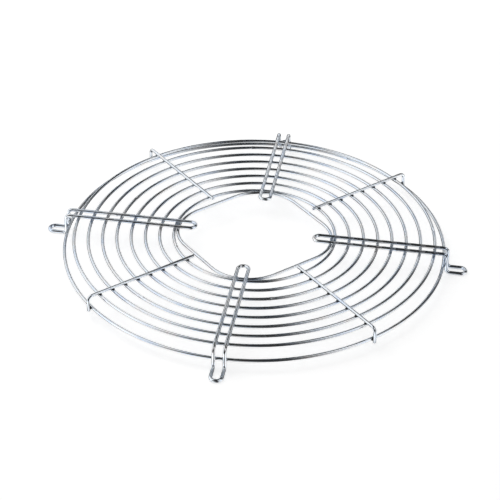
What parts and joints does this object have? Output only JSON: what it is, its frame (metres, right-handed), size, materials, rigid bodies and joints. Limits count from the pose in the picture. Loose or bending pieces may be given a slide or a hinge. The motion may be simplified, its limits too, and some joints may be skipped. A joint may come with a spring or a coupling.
{
  "type": "wire fan guard",
  "caption": "Round welded wire guard for an axial fan: concentric rings round a rounded square opening, single spokes, and double wire arms bent down to open screw eyes.",
  "frame": {"origin": "centre of the guard, on the mounting plane under its four feet", "axes": "+Z along the fan's axis, from the feet to the raised face of rings; +X and +Y along two of the arms"},
  "size_m": [0.4216, 0.4216, 0.0243],
  "materials": {
    "plated_wire": "bright, smooth galvanic plating over drawn steel wire, with small resistance welds"
  },
  "bodies": {
    "root": {"guard_ring_1": "plated_wire", "guard_ring_2": "plated_wire", "guard_ring_3": "plated_wire", "guard_ring_4": "plated_wire", "guard_ring_5": "plated_wire", "guard_ring_6": "plated_wire", "guard_ring_7": "plated_wire", "guard_ring_8": "plated_wire", "centre_wire": "plated_wire", "rim_ring": "plated_wire", "arm_right": "plated_wire", "arm_back": "plated_wire", "arm_left": "plated_wire", "arm_front": "plated_wire", "spoke_back_right": "plated_wire", "spoke_back_left": "plated_wire", "spoke_front_left": "plated_wire", "spoke_front_right": "plated_wire"}
  },
  "joints": []
}
